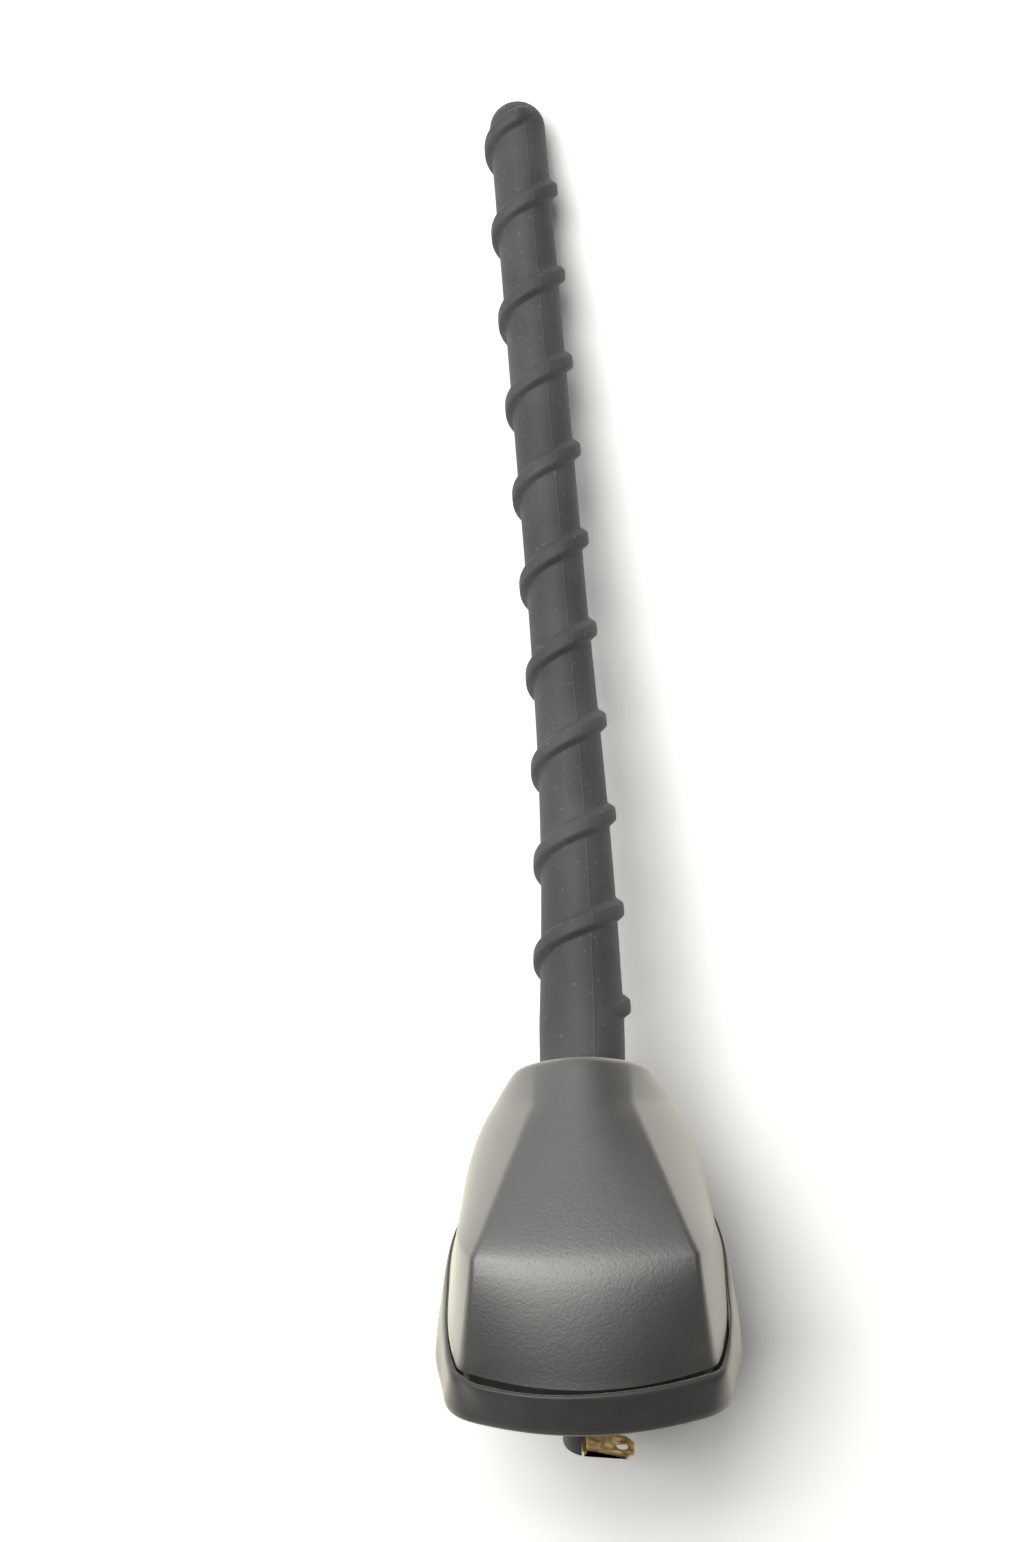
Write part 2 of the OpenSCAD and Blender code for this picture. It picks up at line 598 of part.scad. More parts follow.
module mast_jacket() {
    table = [for (j = [0:cols - 1]) column(j)];
    nf = len(foot_steps);
    nt = len(tip_steps);
    many = nf + 6 * (turns + 1) + nt;
    few = many - 6;
    total = many + (cols - 1) * few;
    seat_z = seal_ring_t + 0.3;
    seat_r = foot_r - 0.6;
    hollow = concat([[run_gap, seat_r], [seat_z, seat_r], [seat_z, 5.1], [8.7, 5.1], [8.7, 4.65],
                     [bend_a, 4.65], [bend_a + 4, 4.65], [ferrule_len + 0.2, 4.65], [ferrule_len + 0.2, 3.4]],
                    [for (s = free_steps) [s, 3.4]],
                    [[sleeve_end + 0.3, 3.4], [sleeve_end + 0.3, 2.1], [core_end + 0.3, 2.1]]);
    inner = total + 1;
    function at(j, k) = (j == 0 ? 0 : many + (j - 1) * few) + k;
    function tag(j, k) = [at(j, k), table[j][k][0]];
    color([0.17, 0.17, 0.17])
    on_mast() polyhedron(
        points = concat(
            [for (j = [0:cols - 1]) for (p = table[j]) on_axis(p[0], p[1], rib_angle + j * 360 / cols)],
            [on_axis(mast_len, 0, 0)],
            [for (p = hollow) for (j = [0:cols - 1]) on_axis(p[0], p[1], rib_angle + j * 360 / cols)]),
        faces = concat(
            [for (j = [1:cols - 2]) for (k = [0:few - 2]) [at(j, k), at(j, k + 1), at(j + 1, k + 1), at(j + 1, k)]],
            [for (k = [0:nf + 6 * turns - 2]) [at(0, k), at(0, k + 1), at(1, k + 1), at(1, k)]],
            stitch([for (k = [nf + 6 * turns - 1:many - 1]) tag(0, k)],
                   [for (k = [nf + 6 * turns - 1:few - 1]) tag(1, k)]),
            stitch([for (k = [0:nf]) tag(cols - 1, k)], [for (k = [0:nf + 6]) tag(0, k)]),
            [for (k = [nf:few - 2]) [at(cols - 1, k), at(cols - 1, k + 1), at(0, k + 7), at(0, k + 6)]],
            [for (j = [0:cols - 1]) let (i = (j + 1) % cols)
                [at(j, (j == 0 ? many : few) - 1), total, at(i, (i == 0 ? many : few) - 1)]],
            [for (j = [0:cols - 1]) let (i = (j + 1) % cols) [at(j, 0), at(i, 0), inner + i, inner + j]],
            wrap_faces(inner, len(hollow), cols, true),
            [[for (j = [0:cols - 1]) inner + (len(hollow) - 1) * cols + j]]),
        convexity = 12);
}

cover();
gasket();
base_casting();
cover_screws();
fixing_stud();
stud_insulator();
insulator_seal();
terminal_blade();
contact_strip();
strip_rivet();
strip_screw();
socket_sleeve();
mast_socket();
mast_seal();
mast_ferrule();
mast_screw();
mast_core();
mast_winding();
winding_ring();
winding_sleeve();
mast_jacket();
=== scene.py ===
# %% [markdown]
# # A car's roof antenna
# The real object is a rubber rod mast with a moulded spiral rib. It is screwed into a plastic
# foot, which stands in a rubber tray on the roof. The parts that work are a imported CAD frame.
# This lesson builds the parts that are seen with Blender's mesh operators, and dresses the rest.

# %% Load the frame
import math

import bmesh
import bpy
from mathutils import Matrix, Vector


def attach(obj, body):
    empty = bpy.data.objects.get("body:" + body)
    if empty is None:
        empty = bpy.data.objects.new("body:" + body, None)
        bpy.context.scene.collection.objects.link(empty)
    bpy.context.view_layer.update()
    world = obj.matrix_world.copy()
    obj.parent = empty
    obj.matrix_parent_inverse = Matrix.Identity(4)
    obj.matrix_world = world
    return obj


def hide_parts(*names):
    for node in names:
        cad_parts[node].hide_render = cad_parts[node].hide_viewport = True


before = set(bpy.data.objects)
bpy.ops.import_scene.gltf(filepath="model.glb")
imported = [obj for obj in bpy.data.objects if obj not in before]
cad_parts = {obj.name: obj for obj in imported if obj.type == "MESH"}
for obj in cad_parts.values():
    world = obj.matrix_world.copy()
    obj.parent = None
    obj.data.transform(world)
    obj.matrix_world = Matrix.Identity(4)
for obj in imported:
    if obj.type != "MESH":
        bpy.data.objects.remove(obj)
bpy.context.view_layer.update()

# %% [markdown]
# Everything is worked out in millimetres, as the makers of such parts do, and is brought to
# metres when a piece is finished. The driving sizes are those of the solids.

# %% Driving sizes, in millimetres
MM = 0.001
MAST_LEN, FOOT_R, ROD_R, FLARE_END = 198.0, 7.9, 5.7, 100.0
RIB_PITCH, RIB_HEIGHT, RIB_START, RIB_TURN = 18.5, 1.43, 9.8, math.radians(-46.7)
RIB_TURNS = 10
BEND_FROM, BEND_TO, BEND = 14.0, 70.0, math.radians(3.6)
NECK_Y, NECK_Z, NECK_R = 25.2, 41.5, 12.4
FLOOR_T, LIP_Z, WALL, END_WALL, LIP_GAP = 3.0, 8.5, 2.2, 2.2, 0.2
RUN_GAP = 0.3
ON_MAST = Matrix.Translation((0, NECK_Y, NECK_Z)) @ Matrix.Rotation(math.radians(-45), 4, "X")


def clip(value, low=0.0, high=1.0):
    return min(max(value, low), high)


def ramp(value, start, width):
    """0 up to start, 1 from start + width on, and a straight line between."""
    return clip((value - start) / width)


def mix(a, b, share):
    return a + (b - a) * share


def lookup(value, table):
    """Straight lines between the (place, value) pairs of a table."""
    value = clip(value, table[0][0], table[-1][0])
    for (x0, y0), (x1, y1) in zip(table, table[1:]):
        if value <= x1:
            return mix(y0, y1, (value - x0) / (x1 - x0))


# %% [markdown]
# ## Camera
# In the photograph the antenna lies on a white table and is seen from above. In the frame it
# stands on the roof, so the camera looks down at it from the front instead. The direction was
# found by fitting the camera to the mast, the gasket and the neck; the neck is the anchor.

# %% Camera
PHOTO_W, PHOTO_H, FOCUS_PX, SENSOR = 1024, 1542, 3950, 36
LOOK_DOWN, LOOK_TURN, LOOK_ROLL = math.radians(27.74), -0.030, -0.036
NECK_PX, NECK_DEPTH = (582.7, 1071), 729.95

forward = Vector((math.sin(LOOK_TURN) * math.cos(LOOK_DOWN), math.cos(LOOK_TURN) * math.cos(LOOK_DOWN),
                  -math.sin(LOOK_DOWN)))
level = Vector((math.cos(LOOK_TURN), -math.sin(LOOK_TURN), 0))
right = math.cos(LOOK_ROLL) * level + math.sin(LOOK_ROLL) * level.cross(forward)
up = right.cross(forward)
neck = Vector((0, NECK_Y, NECK_Z))
aside = (NECK_PX[0] - PHOTO_W / 2) * NECK_DEPTH / FOCUS_PX
above = (PHOTO_H / 2 - NECK_PX[1]) * NECK_DEPTH / FOCUS_PX
eye = neck - aside * right - above * up - NECK_DEPTH * forward

camera = bpy.data.objects.new("camera", bpy.data.cameras.new("camera"))
camera.data.sensor_fit = "VERTICAL"
camera.data.sensor_height = SENSOR
camera.data.lens = SENSOR * FOCUS_PX / PHOTO_H
camera.matrix_world = Matrix.Translation(eye * MM) @ Matrix((right, up, -forward)).transposed().to_4x4()
bpy.context.scene.collection.objects.link(camera)
bpy.context.scene.camera = camera
print("camera", [round(v, 1) for v in eye], "lens", round(camera.data.lens, 1))

# %% [markdown]
# ## Shader maths
# Node trees are hard to read when they are wired by hand. One small class wraps a socket, so
# that plain Python sums on it add Math nodes, and one method adds any other node.


# %% Shader maths
class Socket:
    """A shader value that Python's operators work on."""

    def __init__(self, finish, link):
        self.finish, self.link = finish, link

    def sum(self, operation, *others):
        places = {i: v for i, v in enumerate((self,) + others)}
        return self.finish.node("ShaderNodeMath", {"operation": operation}, places)

    def __add__(self, other): return self.sum("ADD", other)
    def __radd__(self, other): return self.sum("ADD", other)
    def __sub__(self, other): return self.sum("SUBTRACT", other)
    def __rsub__(self, other): return (self * -1).sum("ADD", other)
    def __mul__(self, other): return self.sum("MULTIPLY", other)
    def __rmul__(self, other): return self.sum("MULTIPLY", other)
    def __abs__(self): return self.sum("ABSOLUTE")

    def between(self, low, high):
        """0 below low, 1 above high, and a soft step from the one to the other."""
        return self.finish.node("ShaderNodeMapRange", {"interpolation_type": "SMOOTHSTEP"},
                                {0: self, 1: low, 2: high})


class Finish:
    """A material with one Principled shader, and the nodes that feed it."""

    def __init__(self, name, **plain):
        self.material = bpy.data.materials.new(name)
        self.material.use_nodes = True
        self.tree = self.material.node_tree
        self.shader = self.tree.nodes["Principled BSDF"]
        self.slot = name
        for socket, value in plain.items():
            self.feed(socket.replace("_", " ").title(), value)

    def node(self, kind, settings=None, sockets=None, out=0):
        made = self.tree.nodes.new(kind)
        for name, value in (settings or {}).items():
            setattr(made, name, value)
        for place, value in (sockets or {}).items():
            self.join(made.inputs[place], value)
        return Socket(self, made.outputs[out])

    def join(self, socket, value):
        if isinstance(value, Socket):
            self.tree.links.new(value.link, socket)
        else:
            socket.default_value = value

    def feed(self, name, value):
        if name == "Base Color" and not isinstance(value, Socket):
            value = (*value, 1)
        self.join(self.shader.inputs[name], value)

    def noise(self, size, detail):
        """A noise on object coordinates whose blobs are about as large as size, in millimetres."""
        place = self.node("ShaderNodeTexCoord", out="Object")
        sockets = {"Vector": place, "Scale": 1 / (size * MM), "Detail": detail}
        return self.node("ShaderNodeTexNoise", {}, sockets)

    def blend(self, mask, first, second):
        first, second = [c if isinstance(c, Socket) else (*c, 1) for c in (first, second)]
        return self.node("ShaderNodeMix", {"data_type": "RGBA"}, {0: mask, 6: first, 7: second}, out=2)

    def relief(self, *layers):
        """Bumps on top of each other; each layer is a height from 0 to 1 and its size in mm."""
        normal = None
        for height, size in layers:
            sockets = {"Height": height, "Distance": size * MM}
            if normal:
                sockets["Normal"] = normal
            normal = self.node("ShaderNodeBump", {}, sockets)
        self.feed("Normal", normal)


# %% [markdown]
# ## Stage
# The table of the photograph is a plain white sheet that the mast's tip and the gasket's back
# edge nearly touch. Its back side is clear, so that it hides nothing from behind. The photo's
# sheet is over-exposed. Where the lamps reach it, this one is therefore seen at 1.1 to 1.4 by
# the camera and in reflections, where 1 is white. Its bounced light is that of a light grey.

# %% Stage
TABLE_LOW, TABLE_HIGH, TABLE_GAP = Vector((0, 49.4, 0.6)), Vector((0, 164.6, 170.9)), 1.5
TABLE_HALF = 1.5
BOUNCED_GREY, SEEN_GREY = 0.8, 1.7
along = (TABLE_HIGH - TABLE_LOW).normalized()
facing = Vector((1, 0, 0)).cross(along)

bm = bmesh.new()
bmesh.ops.create_grid(bm, x_segments=1, y_segments=1, size=TABLE_HALF)
table_mesh = bpy.data.meshes.new("table")
centre = (TABLE_LOW + TABLE_HIGH) / 2 - facing * TABLE_GAP
turn = Matrix((along.cross(facing), along, facing)).transposed().to_4x4()
bmesh.ops.transform(bm, matrix=Matrix.Translation(centre * MM) @ turn, verts=bm.verts)
bm.to_mesh(table_mesh)
bm.free()
table = bpy.data.objects.new("table", table_mesh)
bpy.context.scene.collection.objects.link(table)

paper = Finish("table_paper", roughness=1.0)
paper.feed("Specular IOR Level", 0.0)
seen = paper.node("ShaderNodeLightPath", out="Is Camera Ray")
rays = seen.link.node.outputs
for name in ("Is Glossy Ray", "Is Transmission Ray"):
    seen = seen.sum("MAXIMUM", Socket(paper, rays[name]))
paper.feed("Base Color", paper.blend(seen, (BOUNCED_GREY,) * 3, (SEEN_GREY,) * 3))
paper.feed("Alpha", 1 - paper.node("ShaderNodeNewGeometry", out="Backfacing"))
table_mesh.materials.append(paper.material)
print("table faces", [round(v, 3) for v in facing])

# %% [markdown]
# ## Light
# The highlights of the photograph tell where its light is. Two warm rectangles stand to the
# left of the camera: the front lamp about level with it, and the key lamp higher up. A larger
# white one hangs above the antenna. All look at the neck. Their first powers were fitted to the
# photo's tones, from pictures with one lamp each, and were then changed. The world is white
# to the camera only, and nearly black as a light.

# %% Light
WORLD_LEVEL, WORLD_SEEN = 0.015, 0.98
WARM = (1.0, 0.985, 0.94)

world = bpy.data.worlds.new("studio")
world.use_nodes = True
bpy.context.scene.world = world
shade = world.node_tree.nodes["Background"]
shade.inputs["Color"].default_value = (1, 1, 1, 1)
path = world.node_tree.nodes.new("ShaderNodeLightPath")
level_node = world.node_tree.nodes.new("ShaderNodeMapRange")
level_node.inputs["To Min"].default_value = WORLD_LEVEL
level_node.inputs["To Max"].default_value = WORLD_SEEN
world.node_tree.links.new(path.outputs["Is Camera Ray"], level_node.inputs["Value"])
world.node_tree.links.new(level_node.outputs[0], shade.inputs["Strength"])


def lamp(name, towards, away, wide, tall, watts, tint=(1, 1, 1)):
    """A rectangular lamp that looks at the neck, with its wide side level in the picture."""
    towards = towards.normalized()
    box = bpy.data.objects.new(name, bpy.data.lights.new(name, "AREA"))
    box.data.shape = "RECTANGLE"
    box.data.size, box.data.size_y, box.data.energy = wide, tall, watts
    box.data.color = tint
    across = (right - right.dot(towards) * towards).normalized()
    spread = Matrix((across, towards.cross(across), towards)).transposed().to_4x4()
    box.matrix_world = Matrix.Translation(neck * MM + towards * away) @ spread
    bpy.context.scene.collection.objects.link(box)


lamp("front_lamp", -forward - 0.38 * right + 0.08 * up, 1.2, 0.7, 0.5, 5.8, WARM)
lamp("key_lamp", -forward - 0.26 * right + 0.50 * up, 1.2, 0.7, 0.4, 6.0, WARM)
lamp("top_lamp", Vector((-0.5, 0.1, 1)), 1.0, 1.6, 0.8, 2.2)
bpy.context.scene.view_settings.view_transform = "Standard"

# %% [markdown]
# ## Finishes
# Each material slot of the record gets one procedural finish. Patterns read object
# coordinates, so they stay on the part when it turns.
#
# The cover is a dark, finely grained plastic. At a grazing angle it shines paler than a plain
# gloss does, so a rough coat and a warm sheen lie on it. Its grain is a small bump.

# %% Plastic of the cover
PALE_SHEEN = (1.0, 0.97, 0.82, 1)
cover_finish = Finish("cover_plastic", coat_weight=1.0, coat_roughness=0.5, sheen_weight=1.0,
                      sheen_roughness=0.48)
cover_finish.feed("IOR", 2.2)
cover_finish.feed("Coat IOR", 1.7)
cover_finish.feed("Sheen Tint", PALE_SHEEN)
grain = cover_finish.noise(0.6, 3.0)
cloud = cover_finish.noise(9.0, 4.0)
tone = cover_finish.blend(cloud.between(0.3, 0.7), (0.031, 0.031, 0.032), (0.041, 0.041, 0.042))
cover_finish.feed("Base Color", tone)
cover_finish.feed("Roughness", 0.43 + grain * 0.14)
cover_finish.relief((cloud, 0.05), (grain, 0.075))

# %% [markdown]
# The mast's rubber is a paler, duller grey with large soft patches and a few light specks. The
# mould's parting line is a faint ridge. It reads the attribute that the mast's mesh is given.

# %% Rubber of the mast
mast_finish = Finish("mast_rubber")
dust = mast_finish.noise(0.5, 4.0)
patch = mast_finish.noise(14.0, 5.0)
speck = mast_finish.noise(0.9, 1.0).between(0.68, 0.74)
tone = mast_finish.blend(patch.between(0.35, 0.7), (0.088, 0.088, 0.090), (0.122, 0.121, 0.121))
mast_finish.feed("Base Color", mast_finish.blend(speck * 0.3, tone, (0.30, 0.30, 0.30)))
mast_finish.feed("Roughness", 0.52 + dust * 0.2)
parting = mast_finish.node("ShaderNodeAttribute", {"attribute_name": "parting"}, out="Fac")
mast_finish.relief((1 - abs(parting).between(0.05, 0.3), 0.05), (dust, 0.03))

# %% [markdown]
# The gasket is a black rubber with the same pale sheen under a weaker coat. The small seals
# are hardly seen, so a plain colour is enough for them.

# %% Rubber of the gasket and of the seals
gasket_finish = Finish("gasket_rubber", roughness=0.6, coat_weight=1.0, coat_roughness=0.5, sheen_weight=1.0,
                       sheen_roughness=0.4)
gasket_finish.feed("Coat IOR", 1.5)
gasket_finish.feed("Sheen Tint", PALE_SHEEN)
smear = gasket_finish.noise(6.0, 5.0)
fine = gasket_finish.noise(0.6, 3.0)
tone = gasket_finish.blend(smear.between(0.3, 0.75), (0.036, 0.036, 0.037), (0.050, 0.050, 0.051))
gasket_finish.feed("Base Color", tone)
gasket_finish.relief((fine, 0.02))
seal_finish = Finish("seal_rubber", base_color=(0.03, 0.03, 0.03), roughness=0.7)

# %% [markdown]
# The plastics inside are the stud's dark core, a natural white sleeve, thin black sleeving and
# the glass fibre rod. Only the core's nose is in view, so only it has a grain.

# %% Plastics inside
insulator_finish = Finish("insulator_plastic", base_color=(0.03, 0.03, 0.034), roughness=0.55)
insulator_finish.relief((insulator_finish.noise(0.5, 3.0), 0.02))
sleeve_finish = Finish("sleeve_plastic", base_color=(0.6, 0.58, 0.52), roughness=0.5)
sleeving_finish = Finish("sleeve_black", base_color=(0.03, 0.03, 0.03), roughness=0.45)
rod_finish = Finish("rod_fibre", base_color=(0.5, 0.46, 0.32), roughness=0.4)

# %% [markdown]
# Metals differ by colour and roughness: cast zinc is dull and uneven, plated steel is bright
# with a cloudy gloss, and brass and copper are coloured. The blade is in view, so it gets its
# own brass, which tarnishes in mottled spots that are darker and rougher.

# %% Metals
zinc_finish = Finish("cast_zinc", base_color=(0.4, 0.4, 0.41), roughness=0.5, metallic=1.0)
zinc_finish.relief((zinc_finish.noise(0.5, 4.0), 0.03))
steel_finish = Finish("plated_steel", base_color=(0.55, 0.55, 0.56), metallic=1.0)
steel_finish.feed("Roughness", 0.25 + steel_finish.noise(3.0, 4.0) * 0.2)
strip_finish = Finish("strip_brass", base_color=(0.5, 0.36, 0.17), roughness=0.32, metallic=1.0)
socket_finish = Finish("socket_brass", base_color=(0.52, 0.38, 0.18), roughness=0.28, metallic=1.0)
wire_finish = Finish("copper_wire", base_color=(0.6, 0.28, 0.14), roughness=0.3, metallic=1.0)

blade_finish = Finish("blade_brass", metallic=0.8)
tarnish = blade_finish.noise(1.6, 5.0).between(0.35, 0.7)
blade_finish.feed("Base Color", blade_finish.blend(tarnish, (0.70, 0.50, 0.22), (0.38, 0.26, 0.12)))
blade_finish.feed("Roughness", 0.3 + tarnish * 0.25)
blade_finish.relief((blade_finish.noise(0.4, 4.0), 0.015))

# %% [markdown]
# ## Finishing a piece
# Every piece ends in the same way: doubles are merged, faces are turned outwards, millimetres
# become metres, edges sharper than a limit stay crisp, and the piece rides on its body.


# %% Finishing a piece
def settle(bm, name, body, finish, replaces, sharp, merge=0.002):
    bmesh.ops.remove_doubles(bm, verts=bm.verts, dist=merge)
    bmesh.ops.recalc_face_normals(bm, faces=bm.faces)
    for face in bm.faces:
        face.smooth = True
    for edge in bm.edges:
        edge.smooth = edge.calc_face_angle(0.0) < math.radians(sharp)
    bmesh.ops.scale(bm, vec=(MM, MM, MM), verts=bm.verts)
    mesh = bpy.data.meshes.new(name)
    bm.to_mesh(mesh)
    open_edges = sum(1 for edge in bm.edges if not edge.is_manifold)
    bm.free()
    piece = bpy.data.objects.new(name, mesh)
    bpy.context.scene.collection.objects.link(piece)
    mesh.materials.append(finish.material)
    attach(piece, body)
    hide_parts(*replaces)
    print(name, len(mesh.polygons), "faces,", open_edges, "open edges")


# %% [markdown]
# ## The screw sheet
# A rib that climbs like a thread, and a real thread, are the same form at two sizes. A short
# line of points is spun about the axis while it is lifted by one pitch. Copies of that turn,
# each a pitch higher, join into a sheet at radius 1 whose rows follow the thread, and each
# corner then gets its own radius.

# %% The screw sheet
CUT_SLACK, ON_PLANE = 1e-5, 1e-3


def everything(bm):
    return bm.verts[:] + bm.edges[:] + bm.faces[:]


def screw_sheet(pitch, rows, phase, low, high, columns):
    """rows run from 0 to pitch; row 0 passes the level phase at angle 0."""
    first = phase + pitch * math.floor((low - 1.5 * pitch - phase) / pitch)
    turns = math.ceil((high - first) / pitch) + 1
    bm = bmesh.new()
    line = [bm.verts.new((1, 0, first + row)) for row in rows]
    edges = [bm.edges.new(pair) for pair in zip(line, line[1:])]
    bmesh.ops.spin(bm, geom=line + edges, cent=(0, 0, 0), axis=(0, 0, 1), dvec=(0, 0, pitch / columns),
                   angle=2 * math.pi, steps=columns, use_merge=False)
    one_turn = everything(bm)
    for turn in range(1, turns):
        copy = bmesh.ops.duplicate(bm, geom=one_turn)["geom"]
        lifted = [g for g in copy if isinstance(g, bmesh.types.BMVert)]
        bmesh.ops.translate(bm, vec=(0, 0, pitch * turn), verts=lifted)
    bmesh.ops.remove_doubles(bm, verts=bm.verts, dist=0.001)
    for height, side in ((low, -1), (high, 1)):
        bmesh.ops.bisect_plane(bm, geom=everything(bm), dist=CUT_SLACK, plane_co=(0, 0, height),
                               plane_no=(0, 0, side), clear_outer=True)
    return bm


def angle_of(place):
    return math.atan2(place.y, place.x)


def at_angle(angle, reach, height):
    return Vector((reach * math.cos(angle), reach * math.sin(angle), height))


def shape_radius(bm, radius_at):
    for vert in bm.verts:
        angle = angle_of(vert.co)
        vert.co = at_angle(angle, radius_at(vert.co.z, angle), vert.co.z)


def rim_at(bm, height):
    return [e for e in bm.edges if e.is_boundary and all(abs(v.co.z - height) < ON_PLANE for v in e.verts)]


def grow(bm, rim, radius, height):
    """Extrudes a rim once; its new corners keep their direction and take a radius and height."""
    made = bmesh.ops.extrude_edge_only(bm, edges=rim)["geom"]
    corners = [g for g in made if isinstance(g, bmesh.types.BMVert)]
    for vert in corners:
        angle = angle_of(vert.co)
        vert.co = at_angle(angle, radius(angle) if callable(radius) else radius, height)
    fresh = set(corners)
    return [g for g in made if isinstance(g, bmesh.types.BMEdge) and set(g.verts) <= fresh]


# %% [markdown]
# ## The mast's rubber
# The rubber is moulded over the rod and its winding: a slim rod that flares to a thick foot,
# with a rounded rib. The rib's form is a soft plateau: a top, two flanks and a small fillet.
# It fades in and out at its ends. Last, the straight mast is bent, as the one in the photo is.

# %% Radius of the mast's rubber
ROD_TAPER, FLARE_FROM, FLARE_POWER = 0.22, 9, 1.7
DOME_R = ROD_R - ROD_TAPER
DOME_Z = MAST_LEN - DOME_R
RIB_HALF_W, FLANK_W, TOP_ROUND, FILLET_ROUND = 2.28, 0.98, 0.26, 0.10
FADE_TURNS = 0.12


def rubber_r(s):
    if s > DOME_Z:
        return math.sqrt(max(DOME_R**2 - (s - DOME_Z) ** 2, 0))
    flare = clip(1 - (s - FLARE_FROM) / (FLARE_END - FLARE_FROM)) ** FLARE_POWER
    return ROD_R - ROD_TAPER * (s / MAST_LEN) ** 2 + (FOOT_R - ROD_R) * flare


def rib_form(offset):
    """Height of the rib's section, from 0 to 1, at a distance from its middle."""
    flank = (RIB_HALF_W - abs(offset)) / FLANK_W
    top = (1 + flank - math.hypot(1 - flank, TOP_ROUND)) / 2
    return (top + math.hypot(top, FILLET_ROUND)) / 2


def rib_at(s, angle):
    """Height of the rib at a place on the rod; towards its ends it gets lower and narrower."""
    part = ((angle - RIB_TURN) / (2 * math.pi)) % 1
    turn = round((s - RIB_START) / RIB_PITCH - part) + part
    fade = clip(min(turn, RIB_TURNS - turn) / FADE_TURNS)
    fade = fade * fade * (3 - 2 * fade)
    offset = (s - RIB_START - RIB_PITCH * turn) / (0.45 + 0.55 * fade)
    return RIB_HEIGHT * fade * (rib_form(offset) - rib_form(RIB_PITCH / 2))


def mast_r(s, angle):
    return rubber_r(s) + rib_at(s, angle)


# %% [markdown]
# The sheet's rows are close together on the rib's flanks and far apart on the rod. The dome is
# cut into level rows first, because the slanted rows are too coarse for it. A small nib closes
# the tip. The hollow for ferrule and rod is extruded from the lower rim, step by step, up to
# the rod's end.

# %% The sheet, its foot and its hollow
RIB_ROWS = [0.0, 0.35, 0.62, 0.85, 1.05, 1.25, 1.45, 1.65, 1.85, 2.05, 2.25, 2.5, 2.9, 3.7, 5.2, 7.2,
            RIB_PITCH / 2]
MAST_COLUMNS, DOME_ROWS, DOME_STEP = 96, 15, 6
FOOT_CUT, TIP_CUT = RUN_GAP + 0.5, MAST_LEN - 0.02
NIB_R, NIB_UP = 0.45, 0.12
HOLLOW = [(FOOT_R - 0.1, RUN_GAP + 0.2), (FOOT_R - 0.45, RUN_GAP), (7.3, RUN_GAP), (7.3, 1.5), (5.1, 1.5),
          (5.1, 8.7), (4.65, 8.7), (4.65, 22.2), (3.4, 22.2), (3.4, 31), (3.4, 41), (3.4, 50), (3.4, 60),
          (3.4, 70), (3.4, 150.3), (2.1, 150.3), (2.1, 190.3)]

rows = [-r for r in RIB_ROWS[:0:-1]] + RIB_ROWS
rib_level = RIB_START - RIB_PITCH * RIB_TURN / (2 * math.pi)
bm = screw_sheet(RIB_PITCH, [r + RIB_PITCH / 2 for r in rows], rib_level - RIB_PITCH / 2, FOOT_CUT, TIP_CUT,
                 MAST_COLUMNS)
for step in range(DOME_ROWS):
    height = DOME_Z + DOME_R * math.sin(math.radians(step * DOME_STEP))
    tip = [f for f in bm.faces if max(v.co.z for v in f.verts) > height]
    tip_edges = {e for f in tip for e in f.edges}
    tip_verts = {v for f in tip for v in f.verts}
    bmesh.ops.bisect_plane(bm, geom=tip + list(tip_edges) + list(tip_verts), dist=CUT_SLACK,
                           plane_co=(0, 0, height), plane_no=(0, 0, 1))
shape_radius(bm, mast_r)

rim = grow(bm, rim_at(bm, TIP_CUT), NIB_R * 0.8, MAST_LEN + NIB_UP * 0.6)
rim = grow(bm, rim, NIB_R * 0.3, MAST_LEN + NIB_UP)
bmesh.ops.holes_fill(bm, edges=rim)

rim = rim_at(bm, FOOT_CUT)
for radius, height in HOLLOW:
    rim = grow(bm, rim, radius, height)
bmesh.ops.holes_fill(bm, edges=rim)
print("mast sheet", len(bm.faces), "faces")

# %% [markdown]
# The bend is a map of every corner: straight, then an arc, then straight again. The mould's
# parting line is kept as an attribute: the distance to the plane that splits the mould.

# %% Bend the mast, and put it on the neck
PARTING_TURN = math.radians(-72)


def bend(place):
    bow = BEND / (BEND_TO - BEND_FROM)
    lean = bow * clip(place.z - BEND_FROM, 0, BEND_TO - BEND_FROM)
    past = max(place.z - BEND_TO, 0)
    side = (1 - math.cos(lean)) / bow + past * math.sin(BEND)
    rise = min(place.z, BEND_FROM) + math.sin(lean) / bow + past * math.cos(BEND)
    return Vector((place.x * math.cos(lean) - side, place.y, rise + place.x * math.sin(lean)))


parting_layer = bm.verts.layers.float.new("parting")
for vert in bm.verts:
    angle = angle_of(vert.co)
    vert[parting_layer] = math.hypot(vert.co.x, vert.co.y) * math.sin(angle - PARTING_TURN)
    vert.co = ON_MAST @ bend(vert.co)
settle(bm, "mast_rubber", "mast", mast_finish, ["mast_jacket"], sharp=50)

# %% [markdown]
# ## The cover
# The foot is an injection moulding: a thin shell with a blunt bowed front, a sloping upper
# face and a round neck. The front bulges a little, the face is nearly flat across, and the
# fold between them is nearly straight. No box or cylinder gives this. It is a loft: each
# section is an outline in a plane that turns about one line behind the foot, from level at the
# roof to 45 degrees at the neck. A grid sheet has its corners moved on to these outlines, one
# row for each section.

